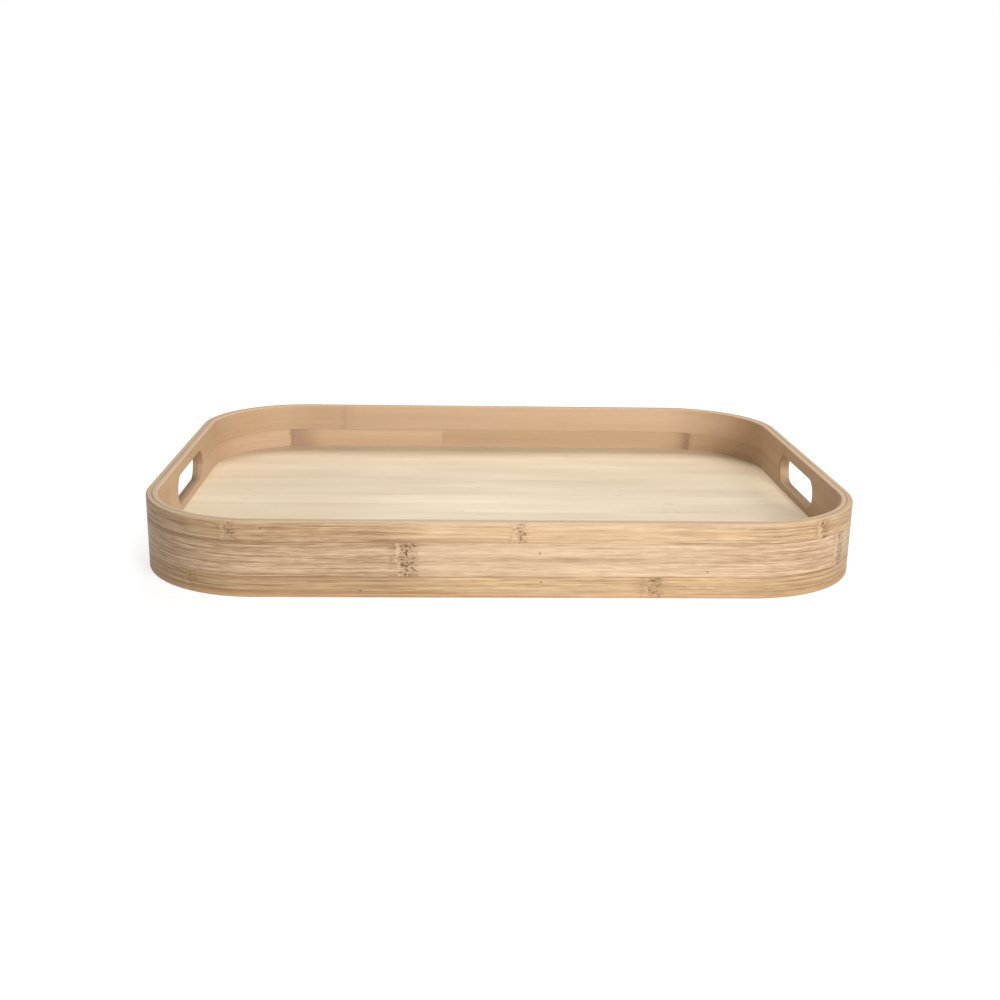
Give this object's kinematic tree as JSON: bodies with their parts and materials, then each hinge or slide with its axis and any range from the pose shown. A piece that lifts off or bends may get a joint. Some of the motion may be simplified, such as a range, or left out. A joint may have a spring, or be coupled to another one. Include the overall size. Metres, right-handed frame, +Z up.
{
  "type": "serving tray",
  "caption": "Rectangular bent bamboo serving tray with rounded corners, a two-ply strip wall, a slatted floor set in a groove and a stadium handle slot in each short wall.",
  "frame": {"origin": "centre of the face that the tray rests on", "axes": "+X along the long side, +Y from the front long wall to the back one, +Z up"},
  "size_m": [0.4, 0.302, 0.0415],
  "materials": {
    "outer_bamboo": "satin lacquered bamboo, brushed fibre texture",
    "inner_bamboo": "satin lacquered bamboo",
    "floor_bamboo": "satin lacquered pale bamboo, fine straight grain"
  },
  "bodies": {
    "root": {"outer_bottom_strip_front": "outer_bamboo", "outer_bottom_strip_back": "outer_bamboo", "outer_middle_strip_front": "outer_bamboo", "outer_middle_strip_back": "outer_bamboo", "outer_top_strip_front": "outer_bamboo", "outer_top_strip_back": "outer_bamboo", "inner_bottom_strip_left": "inner_bamboo", "inner_bottom_strip_right": "inner_bamboo", "inner_middle_strip_left": "inner_bamboo", "inner_middle_strip_right": "inner_bamboo", "inner_top_strip_front": "inner_bamboo", "inner_top_strip_back": "inner_bamboo", "floor_slat_01": "floor_bamboo", "floor_slat_02": "floor_bamboo", "floor_slat_03": "floor_bamboo", "floor_slat_04": "floor_bamboo", "floor_slat_05": "floor_bamboo", "floor_slat_06": "floor_bamboo", "floor_slat_07": "floor_bamboo", "floor_slat_08": "floor_bamboo", "floor_slat_09": "floor_bamboo", "floor_slat_10": "floor_bamboo", "floor_slat_11": "floor_bamboo", "floor_slat_12": "floor_bamboo", "floor_slat_13": "floor_bamboo", "floor_slat_14": "floor_bamboo", "floor_slat_15": "floor_bamboo"}
  },
  "joints": []
}
